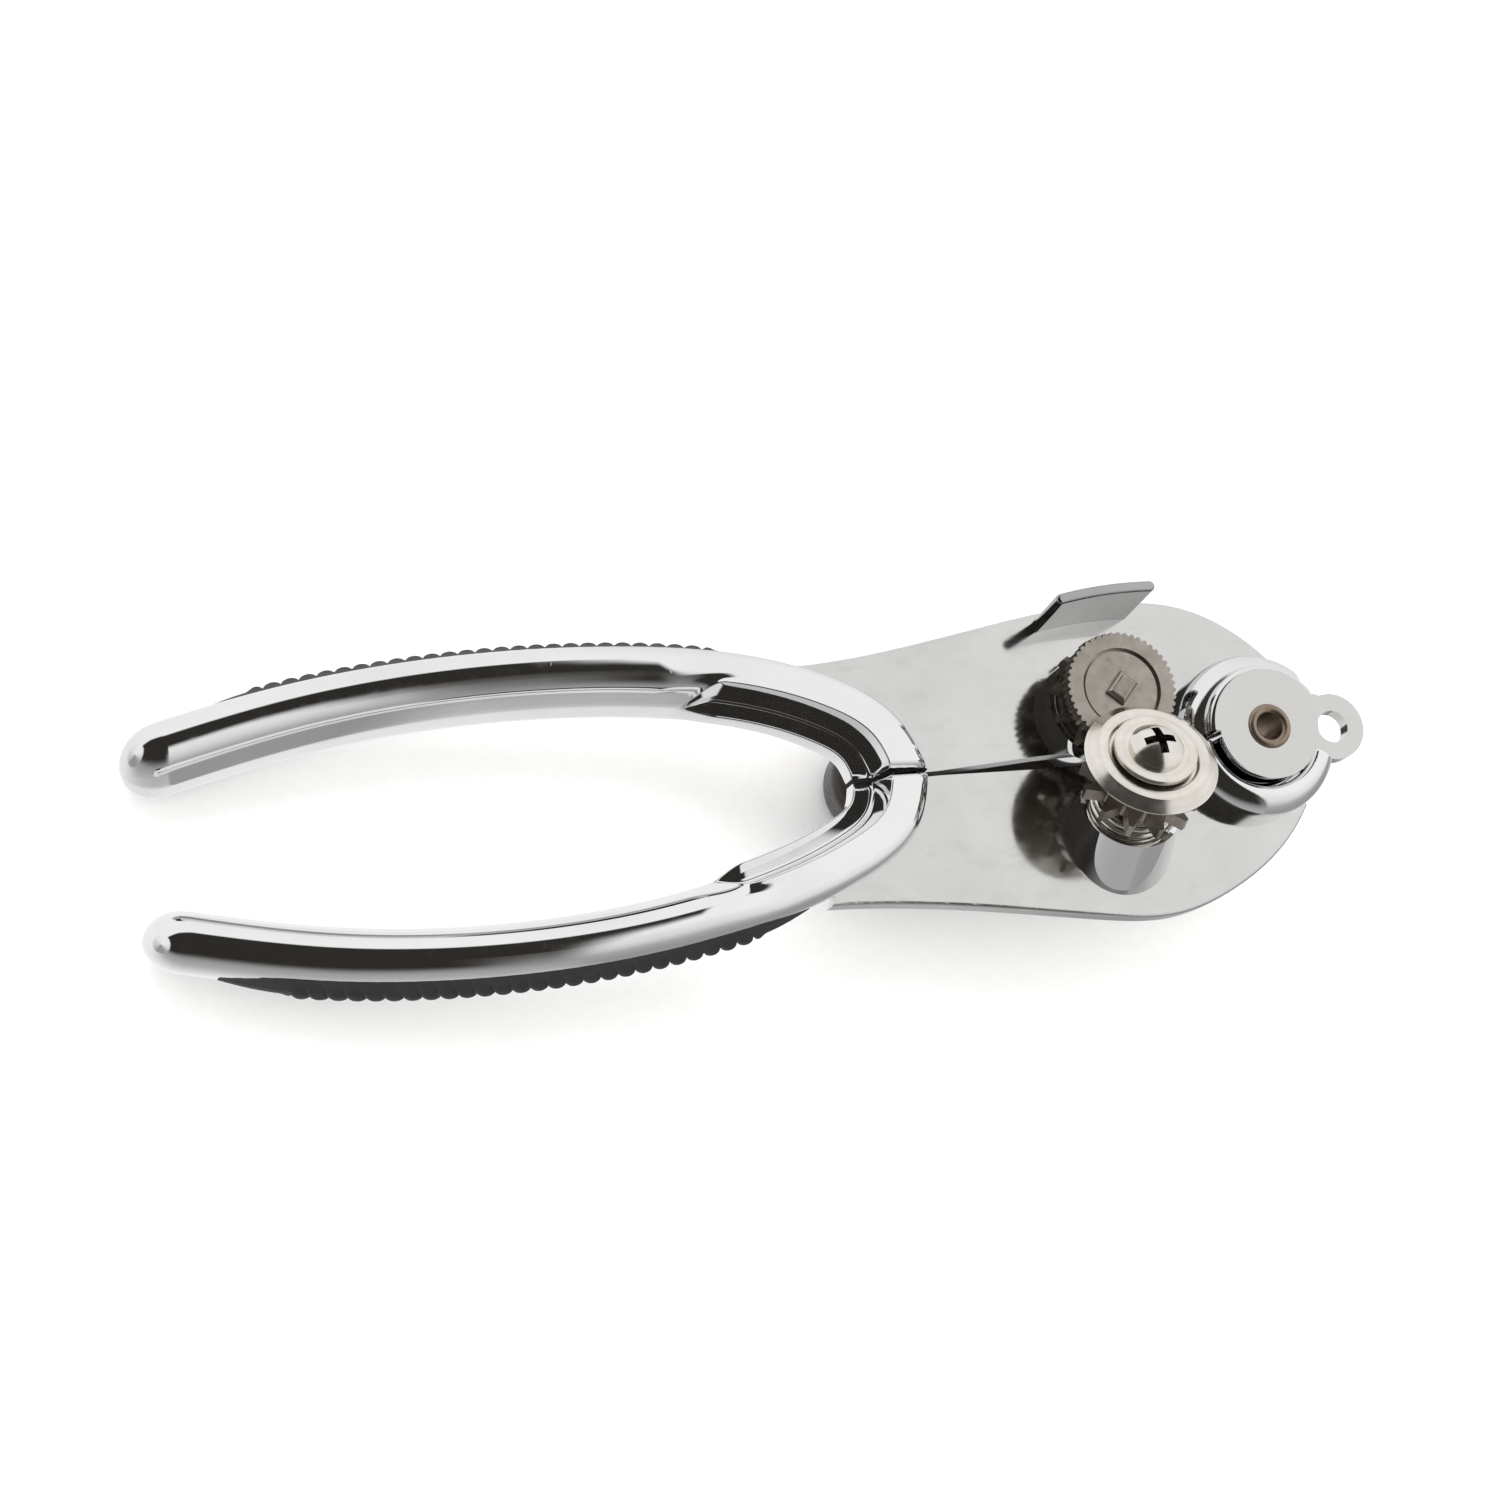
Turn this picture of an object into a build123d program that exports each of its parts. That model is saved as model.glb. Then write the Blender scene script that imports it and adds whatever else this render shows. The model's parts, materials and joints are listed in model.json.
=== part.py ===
from build123d import *
import math
import os

# Plier-type can opener. Millimetres. The origin is on the pivot axis, at the level
# of the plates' front faces. +X runs from the handles to the hang loop, +Y to the
# upper lever and +Z out of the working side.

os.makedirs("parts", exist_ok=True)

# ---------------------------------------------------------------- driving sizes
PLATE_THICKNESS = 2.8
SLIT_HALF = 0.35
SLIT_HALF_AT_GEARS = 1.0
RUNNING_CLEARANCE = 0.05

HANDLE_MID_Z = -2.0
HANDLE_TIP_ROUNDING = 5.5
HANDLE_STEPS = 24
CROTCH_X = -58.0
CROTCH_GAP = 0.7
CROTCH_CUT = 30.0
GRIP_STEPS = 18
GRIP_DEPTH = 9.0
GRIP_MID_Z = -1.0
GRIP_PROUD = 1.65
GRIP_ENDS = (0.06, 0.79)
GRIP_END_SIZE = 0.4
RING_ROUNDING = 0.15

PIVOT_BOSS_R = 12.6
PIVOT_CAP_R = 9.6
PIVOT_CAP_LOW_R = 8.05
PIVOT_CAP_TOP = 8.2
PIVOT_CAP_UNDERSIDE = 3.1
PIVOT_POCKET_R = 8.6
PIVOT_LUG_R = 8.3
PIVOT_LUG_TOP = 2.9
SOCKET_R = 8.5
SOCKET_TOP = 6.2
SOCKET_START = 183.0
SOCKET_ARC = 154.0
RIVET_R = 2.75
RIVET_BORE_R = 2.05
RIVET_FLANGE_R = 3.45
RIVET_FLANGE_THICKNESS = 0.6
PIVOT_WASHER_R = 6.5
PIVOT_WASHER_THICKNESS = 0.6

LOOP_CENTRE = (15.0, 1.0)
LOOP_R = 5.2
LOOP_HOLE_R = 2.5
LOOP_TOP = -0.35

TAB_LINE = [(-30.6, 20.8), (-23.4, 21.6), (-16.1, 21.6)]
TAB_HEIGHT = 11.7
TAB_THICKNESS = 1.6
TAB_LEAN = 0.07
TAB_ROUNDING = 0.5

DRIVE_X = -23.8
DRIVE_Y = 7.3
SHAFT_R = 2.7
BUSHING_R = 3.6
BUSHING_TOP = 2.4
COLLAR_R = 8.3
COLLAR_TOP = 3.4
COLLAR_RECESS_R = 7.3
THRUST_WASHER_R = 6.4
HOUSING_R = 6.6
HOUSING_BOTTOM = -10.5
DRIVE_HUB_BOTTOM = 3.0
DRIVE_HUB_R = 5.0
GEAR_SPACER_R = 5.4
DRIVE_GEAR_BOTTOM = 4.8
DRIVE_GEAR_TOP = 7.6
FEED_BOTTOM = 9.0
FEED_FLOOR = 10.4
FEED_TOP = 11.3
FEED_R = 8.5
FEED_NOTCH = 0.45
FEED_TEETH = 48
FEED_TIP_HALF_ANGLE = 1.2
FEED_RECESS_R = 6.1
RETAINER_R = 5.65
RETAINER_THICKNESS = 0.5
TANG_LENGTH = 4.2
TANG_WIDTH = 3.2
TANG_ANGLE = 46.0
TANG_TOP = 11.8
TANG_ROUNDING = 0.7
SHAFT_FOOT_R = 4.0
SHAFT_FOOT_THICKNESS = 0.6

GEAR_TEETH = 12
GEAR_TIP_R = 8.9
GEAR_ROOT_R = 5.7
GEAR_FOOT_R = 6.2
GEAR_TIP_WIDTH = 0.7
GEAR_FOOT_WIDTH = 2.3

CUTTER_TILT = 23.0
CUTTER_CENTRE = (-23.7, -5.0, 15.7)
CUTTER_R = 10.0
CUTTER_BEVEL_R = 8.4
CUTTER_BOTTOM = -0.1
CUTTER_TOP = 1.4
CUTTER_HUB_R = 4.6
CUTTER_GEAR_TOP = -5.1
CUTTER_GEAR_BOTTOM = -7.3
SLEEVE_R = 2.95
SLEEVE_TOP = 1.75
WASHER_R = 6.2
WASHER_TOP = 2.6
SCREW_R = 2.0
SCREW_END = -15.0
SCREW_HEAD_R = 4.0
SCREW_HEAD_TOP = 5.1
SCREW_HEAD_RIM = 0.7
SCREW_CROSS = (4.7, 1.25)
SCREW_CROSS_DEPTH = 2.1
POST_RIM = -11.0
POST_RIM_R = 7.55
POST_BASE = -22.0
POST_BASE_R = 9.1
POST_CUP_R = 6.9
POST_CUP_FLOOR = -13.2
POST_SPIGOT_R = 3.4
POST_SPIGOT_Y = -11.7
SPRING_R = 5.8
SPRING_WIRE_R = 0.45
SPRING_PITCH = 1.5

KEY_TOP = -12.0
KEY_BOTTOM = -20.0
KEY_HALF_LENGTH = 38.5
KEY_END_R = 8.0
KEY_HUB_R = 9.5
KEY_WAIST = 11.0
KEY_ANGLE = 8.5
KEY_CORE_R = 5.0
KEY_ROUNDING = 2.2
KEY_CORE_BOTTOM = -19.2
KEY_GAP = 0.6
KEY_WASHER_R = 6.0

# plan outlines of the two plates, from the handle end to the pivot end
UPPER_EDGE = [
    (-68.9, 18.3),
    (-56.2, 19.2),
    (-41.6, 21.3),
    (-28.0, 23.2),
    (-16.0, 23.6),
    (-5.7, 21.7),
    (1.9, 17.2),
    (6.9, 12.0),
]
LOWER_EDGE = [
    (-70.2, -17.9),
    (-57.2, -19.1),
    (-41.0, -21.7),
    (-28.0, -24.1),
    (-17.0, -25.0),
    (-7.1, -22.3),
    (2.8, -16.3),
    (7.8, -10.8),
]

# plan centre lines of the two handles, from the tip to the crotch
UPPER_LINE = [
    (-168.0, 12.4),
    (-145.0, 17.3),
    (-120.0, 19.6),
    (-98.0, 19.0),
    (-80.0, 16.3),
    (-67.0, 11.6),
    (-60.0, 6.2),
    (-57.4, -1.4),
]
LOWER_LINE = [
    (-168.0, -11.0),
    (-145.0, -16.5),
    (-120.0, -19.0),
    (-98.0, -18.2),
    (-80.0, -15.1),
    (-67.0, -10.9),
    (-60.0, -6.2),
    (-57.4, 1.4),
]
# handle width at stations along its centre line
HANDLE_STATIONS = [
    (0.00, 8.7),
    (0.10, 8.7),
    (0.20, 8.6),
    (0.32, 8.4),
    (0.45, 8.3),
    (0.58, 8.3),
    (0.70, 8.4),
    (0.81, 8.5),
    (0.90, 8.8),
    (0.96, 9.6),
    (1.00, 10.0),
]

# closed section of a handle: height, and share of its half width to the outer side
HANDLE_SECTION = [
    (5.0, 0.20),
    (4.2, 0.70),
    (2.2, 0.96),
    (-0.4, 1.00),
    (-3.8, 0.86),
    (-7.0, 0.50),
    (-8.9, -0.10),
    (-8.5, -0.75),
    (-5.5, -1.00),
    (-1.0, -0.92),
    (2.8, -0.72),
    (4.6, -0.32),
]

tilt = math.radians(CUTTER_TILT)
CUTTER_AXIS = (0, math.sin(tilt), math.cos(tilt))
cutter_plane = Plane(origin=CUTTER_CENTRE, x_dir=(1, 0, 0), z_dir=CUTTER_AXIS)
cutter_section = Plane(
    origin=CUTTER_CENTRE, x_dir=(1, 0, 0), z_dir=(0, -math.cos(tilt), math.sin(tilt))
)
cutter_line = Axis(CUTTER_CENTRE, CUTTER_AXIS)


# --------------------------------------------------------------------- helpers
def save(builder, name):
    """Label a finished piece and write it as one STEP file."""
    builder.part.label = name
    export_step(builder.part, f"parts/{name}.step")


def drive_plane(height):
    return Plane(origin=(DRIVE_X, DRIVE_Y, height))


def ring(plane, radius, length, hole):
    """A round piece with a hole, standing on a plane."""
    with BuildPart() as piece:
        with BuildSketch(plane):
            Circle(radius)
            Circle(hole, mode=Mode.SUBTRACT)
        extrude(amount=length)
        fillet(piece.edges().filter_by(GeomType.CIRCLE).sort_by(SortBy.RADIUS)[-2:], RING_ROUNDING)
    return piece


def polar(radius, degrees):
    theta = math.radians(degrees)
    return (radius * math.cos(theta), radius * math.sin(theta))


def star_gear(phase):
    """The sketch of a star gear with blunt tips and round gullets."""
    pitch = 360.0 / GEAR_TEETH
    half_foot = math.degrees(GEAR_FOOT_WIDTH / 2 / GEAR_FOOT_R)
    half_tip = math.degrees(GEAR_TIP_WIDTH / 2 / GEAR_TIP_R)
    with BuildSketch() as outline:
        with BuildLine():
            for index in range(GEAR_TEETH):
                middle = phase + index * pitch
                foot = polar(GEAR_FOOT_R, middle + half_foot)
                Polyline(
                    polar(GEAR_FOOT_R, middle - half_foot),
                    polar(GEAR_TIP_R, middle - half_tip),
                    polar(GEAR_TIP_R, middle + half_tip),
                    foot,
                )
                ThreePointArc(
                    foot,
                    polar(GEAR_ROOT_R, middle + pitch / 2),
                    polar(GEAR_FOOT_R, middle + pitch - half_foot),
                )
        make_face()
    return outline.sketch


def handle_width(station):
    """Width of the handle at a station, straight-line between the listed ones."""
    for before, after in zip(HANDLE_STATIONS, HANDLE_STATIONS[1:]):
        if station <= after[0]:
            break
    share = (station - before[0]) / (after[0] - before[0])
    return before[1] + share * (after[1] - before[1])


def handle_piece(line, plate, side):
    """A cast handle: rounded bar along its plan line, notched over the plate."""
    with BuildLine() as centre:
        Spline(*line)
    path = centre.edge()
    rounding = HANDLE_TIP_ROUNDING / path.length
    stations = []
    for share in (0.03, 0.15, 0.4, 0.7):
        stations.append((share * rounding, math.sqrt(1 - (1 - share) ** 2)))
    for step in range(HANDLE_STEPS + 1):
        stations.append((rounding + (1 - rounding) * step / HANDLE_STEPS, 1.0))
    with BuildPart() as piece:
        for station, scale in stations:
            place = path @ station
            section = Plane(
                origin=(place.X, place.Y, HANDLE_MID_Z), x_dir=(0, 0, 1), z_dir=path % station
            )
            half = handle_width(station) / 2 * scale
            corners = []
            for height, share in HANDLE_SECTION:
                corners.append(((height - HANDLE_MID_Z) * scale, -side * share * half))
            with BuildSketch(section):
                with BuildLine():
                    Spline(*corners, periodic=True)
                make_face()
        loft(ruled=True)
        with Locations((CROTCH_X, side * (CROTCH_GAP - CROTCH_CUT) / 2, 0)):
            Box(CROTCH_CUT, CROTCH_CUT, CROTCH_CUT, mode=Mode.SUBTRACT)
        add(plate.part, mode=Mode.SUBTRACT)
    return piece


def grip_piece(line, handle, side):
    """The rubber pad on the outer side of one handle, plain on the outside."""
    with BuildLine() as centre:
        Spline(*line)
    path = centre.edge()
    first, last = GRIP_ENDS
    with BuildPart() as piece:
        for step in range(GRIP_STEPS + 1):
            share = step / GRIP_STEPS
            station = first + share * (last - first)
            size = min(1.0, GRIP_END_SIZE + 6.0 * share, GRIP_END_SIZE + 5.0 * (1 - share))
            place = path @ station
            along = path % station
            outward = Vector(-along.Y, along.X) * side
            reach = handle_width(station) / 2 + GRIP_PROUD * size
            section = Plane(
                origin=Vector(place.X, place.Y, GRIP_MID_Z) + outward * reach / 2,
                x_dir=(0, 0, 1),
                z_dir=along,
            )
            with BuildSketch(section):
                SlotOverall(GRIP_DEPTH * (0.6 + 0.4 * size), reach)
        loft(ruled=True)
        add(handle.part, mode=Mode.SUBTRACT)
    return piece


# ---------------------------------------------------------------- upper plate
with BuildPart() as upper_plate:
    with BuildSketch(Plane.XY.offset(-PLATE_THICKNESS)):
        with BuildLine():
            edge = Spline(*UPPER_EDGE)
            ThreePointArc(edge @ 1, (11.2, 6.3), (12.3, 2.2))
            Polyline(
                (12.3, 2.2),
                (7.5, SLIT_HALF),
                (-7.5, SLIT_HALF_AT_GEARS),
                (-34.0, SLIT_HALF_AT_GEARS),
                (-50.0, SLIT_HALF),
                (-57.5, SLIT_HALF),
                (-60.5, 7.0),
                (-68.0, 13.0),
                edge @ 0,
            )
        make_face()
    extrude(amount=PLATE_THICKNESS)
    front_face = upper_plate.faces().sort_by(Axis.Z)[-1]
    fillet(front_face.edges().filter_by(GeomType.BSPLINE), 0.5)
    # hang loop and its neck, a step lower than the plate so the socket can pass
    with BuildSketch(Plane.XY.offset(-PLATE_THICKNESS)):
        with Locations(LOOP_CENTRE):
            Circle(LOOP_R)
        Polygon((6.0, -2.6), (14.0, -4.0), (14.0, 6.0), (10.0, 7.6), (6.0, 7.0), align=None)
    extrude(amount=PLATE_THICKNESS + LOOP_TOP)
    with Locations((LOOP_CENTRE[0], LOOP_CENTRE[1], 0)):
        Hole(LOOP_HOLE_R)
    Cylinder(PIVOT_POCKET_R, 20, mode=Mode.SUBTRACT)
    with Locations((DRIVE_X, DRIVE_Y, 0)):
        Hole(BUSHING_R)
save(upper_plate, "upper_plate")

# guide tab for the can's rim: a thin curved wall that leans out a little
with BuildPart() as guide_tab:
    with BuildSketch():
        with BuildLine():
            wall = ThreePointArc(*TAB_LINE)
            offset(wall, amount=TAB_THICKNESS / 2, side=Side.BOTH)
        make_face()
    extrude(amount=TAB_HEIGHT, dir=(0, TAB_LEAN, 1))
    fillet(guide_tab.faces().sort_by(Axis.Z)[-1].edges(), TAB_ROUNDING)
save(guide_tab, "guide_tab")

# ---------------------------------------------------------------- lower plate
with BuildPart() as lower_plate:
    with BuildSketch(Plane.XY.offset(-PLATE_THICKNESS)):
        with BuildLine():
            edge = Spline(*LOWER_EDGE)
            Polyline(
                edge @ 1,
                polar(PIVOT_LUG_R - 1.0, -54.0),
                (-7.5, -SLIT_HALF_AT_GEARS),
                (-34.0, -SLIT_HALF_AT_GEARS),
                (-50.0, -SLIT_HALF),
                (-57.5, -SLIT_HALF),
                (-60.5, -7.0),
                (-68.0, -13.0),
                edge @ 0,
            )
        make_face()
    extrude(amount=PLATE_THICKNESS)
    front_face = lower_plate.faces().sort_by(Axis.Z)[-1]
    fillet(front_face.edges().filter_by(GeomType.BSPLINE), 0.5)
    # round end that the tubular rivet passes through
    with BuildSketch(Plane.XY.offset(-PLATE_THICKNESS)):
        Circle(PIVOT_LUG_R)
    extrude(amount=PLATE_THICKNESS)
    Hole(RIVET_R + RUNNING_CLEARANCE)
    with Locations((CUTTER_CENTRE[0], POST_SPIGOT_Y, 0)):
        Hole(POST_SPIGOT_R)
save(lower_plate, "lower_plate")

# -------------------------------------------------------------------- handles
upper_handle = handle_piece(UPPER_LINE, upper_plate, 1)
save(upper_handle, "upper_handle")
lower_handle = handle_piece(LOWER_LINE, lower_plate, -1)
save(lower_handle, "lower_handle")
upper_grip = grip_piece(UPPER_LINE, upper_handle, 1)
save(upper_grip, "upper_grip")
lower_grip = grip_piece(LOWER_LINE, lower_handle, -1)
save(lower_grip, "lower_grip")

# ---------------------------------------------------------------------- pivot
# round lug of the lower lever, held by the tubular rivet under the pivot cap
pivot_lug = ring(Plane.XY, PIVOT_LUG_R, PIVOT_LUG_TOP, RIVET_R + RUNNING_CLEARANCE)
save(pivot_lug, "pivot_lug")

with BuildPart() as pivot_boss:
    with BuildSketch(Plane.XZ):
        with BuildLine():
            Polyline((0, 0), (PIVOT_BOSS_R, 0), (PIVOT_BOSS_R, 2.4))
            ThreePointArc((PIVOT_BOSS_R, 2.4), (11.7, 4.8), (PIVOT_CAP_R, 6.0))
            Polyline((PIVOT_CAP_R, 6.0), (PIVOT_CAP_R, 7.3))
            ThreePointArc((PIVOT_CAP_R, 7.3), (9.35, 7.95), (8.7, PIVOT_CAP_TOP))
            Polyline((8.7, PIVOT_CAP_TOP), (0, PIVOT_CAP_TOP), (0, 0))
        make_face()
    revolve(axis=Axis.Z)
    with BuildSketch():
        Circle(PIVOT_CAP_LOW_R)
        with Locations((PIVOT_CAP_LOW_R, 0.2)):
            Rectangle(30, 20, align=(Align.MAX, Align.MIN))
    extrude(amount=PIVOT_CAP_TOP, mode=Mode.INTERSECT)
    with BuildSketch():
        Circle(PIVOT_POCKET_R)
    extrude(amount=PIVOT_CAP_UNDERSIDE, mode=Mode.SUBTRACT)
    Hole(RIVET_R)
save(pivot_boss, "pivot_boss")

with BuildPart() as pivot_socket:
    with BuildSketch(Plane.XZ):
        with BuildLine():
            Polyline((SOCKET_R, 0), (PIVOT_BOSS_R, 0), (PIVOT_BOSS_R, 3.0))
            ThreePointArc((PIVOT_BOSS_R, 3.0), (11.6, 5.3), (9.4, SOCKET_TOP))
            ThreePointArc((9.4, SOCKET_TOP), (8.8, 6.0), (SOCKET_R, 5.4))
            Line((SOCKET_R, 5.4), (SOCKET_R, 0))
        make_face()
    revolve(axis=Axis.Z, revolution_arc=SOCKET_ARC)
    ends = pivot_socket.faces().filter_by(GeomType.PLANE).filter_by(
        lambda face: abs(face.normal_at().Z) < 0.1
    )
    fillet(ends.edges().filter_by(lambda side: side.center().Z > 1.0), 0.6)
pivot_socket.part.orientation = (0, 0, SOCKET_START)
save(pivot_socket, "pivot_socket")

with BuildPart() as pivot_rivet:
    with BuildSketch(Plane.XZ):
        bottom = -PLATE_THICKNESS - RUNNING_CLEARANCE - PIVOT_WASHER_THICKNESS
        with BuildLine():
            Polyline(
                (RIVET_BORE_R, bottom - RIVET_FLANGE_THICKNESS),
                (RIVET_FLANGE_R, bottom - RIVET_FLANGE_THICKNESS),
                (RIVET_FLANGE_R, bottom),
                (RIVET_R, bottom),
                (RIVET_R, PIVOT_CAP_TOP),
                (RIVET_FLANGE_R, PIVOT_CAP_TOP),
            )
            ThreePointArc(
                (RIVET_FLANGE_R, PIVOT_CAP_TOP),
                (2.95, PIVOT_CAP_TOP + 0.5),
                (RIVET_BORE_R, PIVOT_CAP_TOP + 0.15),
            )
            Line(
                (RIVET_BORE_R, PIVOT_CAP_TOP + 0.15),
                (RIVET_BORE_R, bottom - RIVET_FLANGE_THICKNESS),
            )
        make_face()
    revolve(axis=Axis.Z)
save(pivot_rivet, "pivot_rivet")

pivot_washer = ring(
    Plane.XY.offset(-PLATE_THICKNESS - RUNNING_CLEARANCE - PIVOT_WASHER_THICKNESS),
    PIVOT_WASHER_R,
    PIVOT_WASHER_THICKNESS,
    RIVET_R,
)
save(pivot_washer, "pivot_washer")

# ----------------------------------------------------- drive shaft's bearings
with BuildPart() as drive_collar:
    with BuildSketch(drive_plane(0)):
        Circle(COLLAR_R)
        Circle(BUSHING_R, mode=Mode.SUBTRACT)
        with Locations((0, -DRIVE_Y - 0.3)):
            Rectangle(30, 10, align=(Align.CENTER, Align.MAX), mode=Mode.SUBTRACT)
    extrude(amount=COLLAR_TOP)
    with BuildSketch(drive_plane(BUSHING_TOP)):
        Circle(COLLAR_RECESS_R)
    extrude(amount=COLLAR_TOP, mode=Mode.SUBTRACT)
    rim = drive_collar.faces().sort_by(Axis.Z)[-1].edges()
    fillet(rim.sort_by(SortBy.LENGTH)[-1], 0.4)
save(drive_collar, "drive_collar")

shaft_housing = ring(
    drive_plane(HOUSING_BOTTOM), HOUSING_R, -PLATE_THICKNESS - HOUSING_BOTTOM, BUSHING_R
)
save(shaft_housing, "shaft_housing")
shaft_bushing = ring(
    drive_plane(HOUSING_BOTTOM),
    BUSHING_R,
    BUSHING_TOP - HOUSING_BOTTOM,
    SHAFT_R + RUNNING_CLEARANCE,
)
save(shaft_bushing, "shaft_bushing")

# ---------------------------------------------------------------- drive train
washer_bottom = BUSHING_TOP + RUNNING_CLEARANCE
thrust_washer = ring(
    drive_plane(washer_bottom), THRUST_WASHER_R, DRIVE_HUB_BOTTOM - washer_bottom, SHAFT_R
)
save(thrust_washer, "thrust_washer")

with BuildPart() as drive_gear:
    with BuildSketch(drive_plane(DRIVE_GEAR_BOTTOM)):
        add(star_gear(-90.0 + 180.0 / GEAR_TEETH))
    extrude(amount=DRIVE_GEAR_TOP - DRIVE_GEAR_BOTTOM)
    with BuildSketch(drive_plane(DRIVE_HUB_BOTTOM)):
        Circle(DRIVE_HUB_R)
    extrude(amount=DRIVE_GEAR_BOTTOM - DRIVE_HUB_BOTTOM)
    with BuildSketch(drive_plane(DRIVE_HUB_BOTTOM)):
        Circle(SHAFT_R)
    extrude(amount=DRIVE_GEAR_TOP - DRIVE_HUB_BOTTOM, mode=Mode.SUBTRACT)
save(drive_gear, "drive_gear")

gear_spacer = ring(
    drive_plane(DRIVE_GEAR_TOP), GEAR_SPACER_R, FEED_BOTTOM - DRIVE_GEAR_TOP, SHAFT_R
)
save(gear_spacer, "gear_spacer")

with BuildPart() as feed_wheel:
    with BuildSketch(drive_plane(FEED_BOTTOM)):
        with BuildLine():
            corners = []
            for index in range(FEED_TEETH):
                angle = index * 360.0 / FEED_TEETH
                corners.append(polar(FEED_R, angle - FEED_TIP_HALF_ANGLE))
                corners.append(polar(FEED_R, angle + FEED_TIP_HALF_ANGLE))
                corners.append(polar(FEED_R - FEED_NOTCH, angle + 180.0 / FEED_TEETH))
            Polyline(*corners, close=True)
        make_face()
    extrude(amount=FEED_TOP - FEED_BOTTOM)
    with BuildSketch(drive_plane(FEED_FLOOR)):
        Circle(FEED_RECESS_R)
    extrude(amount=FEED_TOP - FEED_FLOOR, mode=Mode.SUBTRACT)
    with BuildSketch(drive_plane(FEED_BOTTOM)):
        Rectangle(TANG_LENGTH, TANG_WIDTH, rotation=TANG_ANGLE)
    extrude(amount=FEED_TOP - FEED_BOTTOM, mode=Mode.SUBTRACT)
save(feed_wheel, "feed_wheel")

with BuildPart() as feed_retainer:
    with BuildSketch(drive_plane(FEED_FLOOR)):
        Circle(RETAINER_R)
        Rectangle(TANG_LENGTH, TANG_WIDTH, rotation=TANG_ANGLE, mode=Mode.SUBTRACT)
    extrude(amount=RETAINER_THICKNESS)
save(feed_retainer, "feed_retainer")

with BuildPart() as drive_shaft:
    with BuildSketch(drive_plane(KEY_CORE_BOTTOM - SHAFT_FOOT_THICKNESS)):
        Circle(SHAFT_FOOT_R)
    extrude(amount=SHAFT_FOOT_THICKNESS)
    with BuildSketch(drive_plane(KEY_CORE_BOTTOM)):
        Circle(SHAFT_R)
    extrude(amount=FEED_BOTTOM - KEY_CORE_BOTTOM)
    with BuildSketch(drive_plane(FEED_BOTTOM)):
        Rectangle(TANG_LENGTH, TANG_WIDTH, rotation=TANG_ANGLE)
    extrude(amount=TANG_TOP - FEED_BOTTOM)
    fillet(drive_shaft.faces().sort_by(Axis.Z)[-1].edges(), TANG_ROUNDING)
save(drive_shaft, "drive_shaft")

# ---------------------------------------------------------------- turning key
key_core_top = HOUSING_BOTTOM - KEY_GAP
key_washer = ring(
    drive_plane(key_core_top), KEY_WASHER_R, KEY_GAP - RUNNING_CLEARANCE, SHAFT_R
)
save(key_washer, "key_washer")
key_core = ring(
    drive_plane(KEY_CORE_BOTTOM), KEY_CORE_R, key_core_top - KEY_CORE_BOTTOM, SHAFT_R
)
save(key_core, "key_core")

with BuildPart() as turning_key:
    key_plane = Plane(
        origin=(DRIVE_X, DRIVE_Y, KEY_BOTTOM), x_dir=(*polar(1.0, KEY_ANGLE), 0), z_dir=(0, 0, 1)
    )
    wing = KEY_HALF_LENGTH - KEY_END_R
    with BuildSketch(key_plane):
        Circle(KEY_HUB_R)
        for side in (-1, 1):
            with Locations((side * wing, 0)):
                Circle(KEY_END_R)
            Polygon(
                (0, -KEY_WAIST / 2),
                (side * wing, -KEY_END_R + 0.1),
                (side * wing, KEY_END_R - 0.1),
                (0, KEY_WAIST / 2),
                align=None,
            )
    extrude(amount=KEY_TOP - KEY_BOTTOM)
    fillet(turning_key.faces().sort_by(Axis.Z)[0].edges(), KEY_ROUNDING)
    fillet(turning_key.faces().sort_by(Axis.Z)[-1].edges(), KEY_ROUNDING)
    with BuildSketch(key_plane):
        Circle(KEY_CORE_R)
    extrude(amount=KEY_TOP - KEY_BOTTOM, mode=Mode.SUBTRACT)
save(turning_key, "turning_key")

# --------------------------------------------------------------- cutter's post
with BuildPart() as cutter_post:
    with BuildSketch(cutter_section):
        Polygon(
            (SCREW_R, POST_BASE),
            (POST_BASE_R, POST_BASE),
            (POST_RIM_R, POST_RIM),
            (POST_CUP_R, POST_RIM),
            (POST_CUP_R, POST_CUP_FLOOR),
            (SCREW_R, POST_CUP_FLOOR),
            align=None,
        )
    revolve(axis=cutter_line)
    with Locations((CUTTER_CENTRE[0], CUTTER_CENTRE[1], 0)):
        Box(60, 60, 20, align=(Align.CENTER, Align.CENTER, Align.MAX), mode=Mode.SUBTRACT)
    with BuildSketch(Plane(origin=(CUTTER_CENTRE[0], POST_SPIGOT_Y, -PLATE_THICKNESS))):
        Circle(POST_SPIGOT_R)
    extrude(amount=PLATE_THICKNESS)
save(cutter_post, "cutter_post")

with BuildPart() as cutter_spring:
    foot = cutter_plane.offset(POST_CUP_FLOOR + SPRING_WIRE_R + 0.05).origin
    with BuildLine() as coil:
        Helix(SPRING_PITCH, 3 * SPRING_PITCH, SPRING_R, center=foot, direction=CUTTER_AXIS)
    with BuildSketch(Plane(origin=coil.line @ 0, z_dir=coil.line % 0)):
        Circle(SPRING_WIRE_R)
    sweep(path=coil.line, is_frenet=True)
save(cutter_spring, "cutter_spring")

cutter_sleeve = ring(
    cutter_plane.offset(POST_CUP_FLOOR), SLEEVE_R, SLEEVE_TOP - POST_CUP_FLOOR, SCREW_R
)
save(cutter_sleeve, "cutter_sleeve")
screw_washer = ring(
    cutter_plane.offset(SLEEVE_TOP), WASHER_R, WASHER_TOP - SLEEVE_TOP, SCREW_R
)
save(screw_washer, "screw_washer")

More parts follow.
